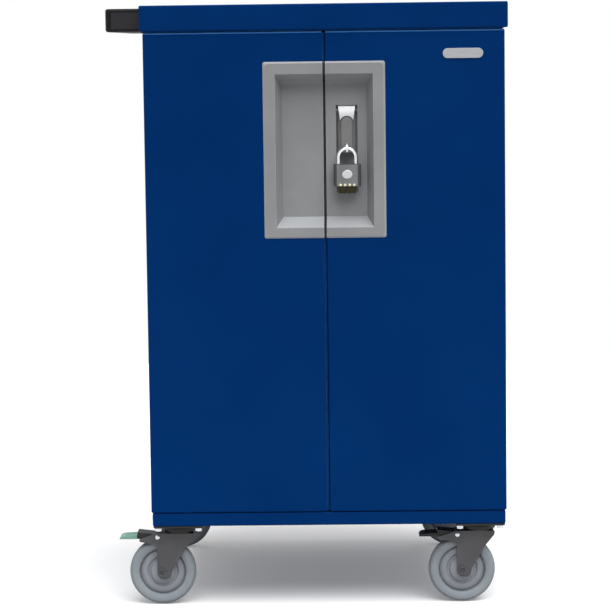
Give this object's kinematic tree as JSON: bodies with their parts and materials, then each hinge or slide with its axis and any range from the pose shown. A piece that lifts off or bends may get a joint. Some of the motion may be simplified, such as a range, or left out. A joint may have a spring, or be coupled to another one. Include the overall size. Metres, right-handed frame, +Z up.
{
  "type": "laptop charging cart",
  "caption": "Steel laptop charging cart on swivel casters, with lockable front doors, a recessed pull cup with a padlocked lever, inner divider racks and a rear service door.",
  "frame": {"origin": "on the floor under the middle of the outer box, push handle and brake pedals included", "axes": "+X to the right seen from the front, +Y from the front doors to the back, +Z up"},
  "size_m": [0.7516, 0.668, 1.1388],
  "materials": {
    "blue_powder_coat": "smooth satin powder coat, dark blue",
    "silver_plastic": "silver-grey moulded plastic, fine satin texture",
    "rack_coating": "light grey coating on the divider sheets",
    "grey_paint": "light grey paint",
    "grey_rubber": "grey non-marking rubber",
    "hub_plastic": "grey moulded nylon",
    "fork_paint": "dark grey satin coating on pressed steel",
    "green_plastic": "soft green pedal cover",
    "black_plastic": "black moulded plastic",
    "black_steel": "black coating on steel",
    "chrome": "polished chrome on hardened steel",
    "lock_casing": "satin grey die-cast casing",
    "dial_brass": "aged brass number wheels",
    "latch_metal": "satin grey die-cast lever",
    "zinc_steel": "bright zinc plating"
  },
  "bodies": {
    "cabinet": {"base_tray": "blue_powder_coat", "roof_panel": "blue_powder_coat", "top_panel": "blue_powder_coat", "left_side_panel": "blue_powder_coat", "right_side_panel": "blue_powder_coat", "partition": "blue_powder_coat", "shelf": "blue_powder_coat", "lower_divider_rack": "rack_coating", "upper_divider_rack": "rack_coating", "lower_power_strip": "black_plastic", "upper_power_strip": "black_plastic", "control_box": "grey_paint", "power_inlet": "black_plastic", "push_handle": "black_plastic", "left_door_top_pin": "black_steel", "left_door_bottom_pin": "black_steel", "right_door_top_pin": "black_steel", "right_door_bottom_pin": "black_steel", "front_left_caster_plate": "zinc_steel", "front_right_caster_plate": "zinc_steel", "rear_left_caster_plate": "zinc_steel", "rear_right_caster_plate": "zinc_steel"},
    "left_door": {"left_door": "blue_powder_coat", "left_pull_cup": "silver_plastic"},
    "right_door": {"right_door": "blue_powder_coat", "right_pull_cup": "silver_plastic"},
    "latch_lever": {"latch_lever": "latch_metal"},
    "latch_rotor": {"latch_rotor": "zinc_steel"},
    "upper_lock_rod": {"upper_lock_rod": "zinc_steel"},
    "lower_lock_rod": {"lower_lock_rod": "zinc_steel"},
    "padlock_shackle": {"padlock_shackle": "chrome"},
    "padlock_body": {"padlock_body": "lock_casing"},
    "rear_door": {"rear_door": "blue_powder_coat"},
    "rear_lock": {"rear_lock": "zinc_steel"},
    "rocker_switch": {"rocker_switch": "black_plastic"},
    "padlock_dial_1": {"padlock_dial_1": "dial_brass"},
    "padlock_dial_2": {"padlock_dial_2": "dial_brass"},
    "padlock_dial_3": {"padlock_dial_3": "dial_brass"},
    "padlock_dial_4": {"padlock_dial_4": "dial_brass"},
    "front_left_swivel": {"front_left_caster_fork": "fork_paint", "front_left_wheel_axle": "zinc_steel"},
    "front_left_wheel": {"front_left_wheel_hub": "hub_plastic", "front_left_wheel_tyre": "grey_rubber"},
    "front_left_brake": {"front_left_brake_pedal": "black_steel", "front_left_brake_pad": "green_plastic"},
    "front_right_swivel": {"front_right_caster_fork": "fork_paint", "front_right_wheel_axle": "zinc_steel"},
    "front_right_wheel": {"front_right_wheel_hub": "hub_plastic", "front_right_wheel_tyre": "grey_rubber"},
    "front_right_brake": {"front_right_brake_pedal": "black_steel", "front_right_brake_pad": "black_plastic"},
    "rear_left_swivel": {"rear_left_caster_fork": "fork_paint", "rear_left_wheel_axle": "zinc_steel"},
    "rear_left_wheel": {"rear_left_wheel_hub": "hub_plastic", "rear_left_wheel_tyre": "grey_rubber"},
    "rear_right_swivel": {"rear_right_caster_fork": "fork_paint", "rear_right_wheel_axle": "zinc_steel"},
    "rear_right_wheel": {"rear_right_wheel_hub": "hub_plastic", "rear_right_wheel_tyre": "grey_rubber"}
  },
  "joints": [
    {"name": "left_door_hinge", "type": "hinge", "parent": "cabinet", "child": "left_door", "pos_m": [-0.2922, -0.319, 0.1916], "axis": [0, 0, -1], "range_deg": [0, 180]},
    {"name": "right_door_hinge", "type": "hinge", "parent": "cabinet", "child": "right_door", "pos_m": [0.3598, -0.319, 0.1916], "axis": [0, 0, 1], "range_deg": [0, 180]},
    {"name": "latch_lever_hinge", "type": "hinge", "parent": "right_door", "child": "latch_lever", "pos_m": [0.0755, -0.291, 0.94], "axis": [-1, 0, 0], "range_deg": [0, 40]},
    {"name": "latch_rotor_turn", "type": "hinge", "parent": "right_door", "child": "latch_rotor", "pos_m": [0.0755, -0.27895, 0.905], "axis": [0, 1, 0], "range_deg": [0, 40]},
    {"name": "upper_rod_slide", "type": "slide", "parent": "right_door", "child": "upper_lock_rod", "axis": [0, 0, -1], "range_m": [0, 0.01285]},
    {"name": "lower_rod_slide", "type": "slide", "parent": "right_door", "child": "lower_lock_rod", "axis": [0, 0, 1], "range_m": [0, 0.01285]},
    {"name": "padlock_swing", "type": "hinge", "parent": "latch_lever", "child": "padlock_shackle", "pos_m": [0.0755, -0.3145, 0.8695], "axis": [-1, 0, 0], "range_deg": [0, 60]},
    {"name": "padlock_release", "type": "slide", "parent": "padlock_shackle", "child": "padlock_body", "axis": [0, 0, -1], "range_m": [0, 0.012]},
    {"name": "padlock_dial_1_turn", "type": "hinge", "parent": "padlock_body", "child": "padlock_dial_1", "pos_m": [0.06275, -0.3145, 0.797], "axis": [1, 0, 0], "continuous": true},
    {"name": "padlock_dial_2_turn", "type": "hinge", "parent": "padlock_body", "child": "padlock_dial_2", "pos_m": [0.07125, -0.3145, 0.797], "axis": [1, 0, 0], "continuous": true},
    {"name": "padlock_dial_3_turn", "type": "hinge", "parent": "padlock_body", "child": "padlock_dial_3", "pos_m": [0.07975, -0.3145, 0.797], "axis": [1, 0, 0], "continuous": true},
    {"name": "padlock_dial_4_turn", "type": "hinge", "parent": "padlock_body", "child": "padlock_dial_4", "pos_m": [0.08825, -0.3145, 0.797], "axis": [1, 0, 0], "continuous": true},
    {"name": "rear_door_hinge", "type": "hinge", "parent": "cabinet", "child": "rear_door", "pos_m": [0.3598, 0.319, 0.7], "axis": [0, 0, -1], "range_deg": [0, 180]},
    {"name": "rear_lock_turn", "type": "hinge", "parent": "rear_door", "child": "rear_lock", "pos_m": [-0.2572, 0.31422, 0.6365], "axis": [0, 1, 0], "range_deg": [0, 90]},
    {"name": "rocker_tip", "type": "hinge", "parent": "cabinet", "child": "rocker_switch", "pos_m": [0.0338, 0.16617, 0.62], "axis": [-1, 0, 0], "range_deg": [0, 20]},
    {"name": "front_left_swivel_turn", "type": "hinge", "parent": "cabinet", "child": "front_left_swivel", "pos_m": [-0.2522, -0.274, 0.148], "axis": [0, 0, 1], "continuous": true},
    {"name": "front_left_wheel_roll", "type": "hinge", "parent": "front_left_swivel", "child": "front_left_wheel", "pos_m": [-0.2857, -0.274, 0.0635], "axis": [0, 1, 0], "continuous": true},
    {"name": "front_left_brake_press", "type": "hinge", "parent": "front_left_swivel", "child": "front_left_brake", "pos_m": [-0.2942, -0.274, 0.1317], "axis": [0, -1, 0], "range_deg": [0, 12]},
    {"name": "front_right_swivel_turn", "type": "hinge", "parent": "cabinet", "child": "front_right_swivel", "pos_m": [0.3198, -0.274, 0.148], "axis": [0, 0, 1], "continuous": true},
    {"name": "front_right_wheel_roll", "type": "hinge", "parent": "front_right_swivel", "child": "front_right_wheel", "pos_m": [0.2863, -0.274, 0.0635], "axis": [0, 1, 0], "continuous": true},
    {"name": "front_right_brake_press", "type": "hinge", "parent": "front_right_swivel", "child": "front_right_brake", "pos_m": [0.2778, -0.274, 0.1317], "axis": [0, -1, 0], "range_deg": [0, 12]},
    {"name": "rear_left_swivel_turn", "type": "hinge", "parent": "cabinet", "child": "rear_left_swivel", "pos_m": [-0.2522, 0.274, 0.148], "axis": [0, 0, 1], "continuous": true},
    {"name": "rear_left_wheel_roll", "type": "hinge", "parent": "rear_left_swivel", "child": "rear_left_wheel", "pos_m": [-0.2857, 0.274, 0.0635], "axis": [0, 1, 0], "continuous": true},
    {"name": "rear_right_swivel_turn", "type": "hinge", "parent": "cabinet", "child": "rear_right_swivel", "pos_m": [0.3198, 0.274, 0.148], "axis": [0, 0, 1], "continuous": true},
    {"name": "rear_right_wheel_roll", "type": "hinge", "parent": "rear_right_swivel", "child": "rear_right_wheel", "pos_m": [0.2863, 0.274, 0.0635], "axis": [0, 1, 0], "continuous": true}
  ],
  "couplings": [
    {"joint": "latch_rotor_turn", "follows": "latch_lever_hinge", "ratio": 1},
    {"joint": "upper_rod_slide", "follows": "latch_lever_hinge", "m_per_rad": 0.018406},
    {"joint": "lower_rod_slide", "follows": "latch_lever_hinge", "m_per_rad": 0.018406}
  ]
}
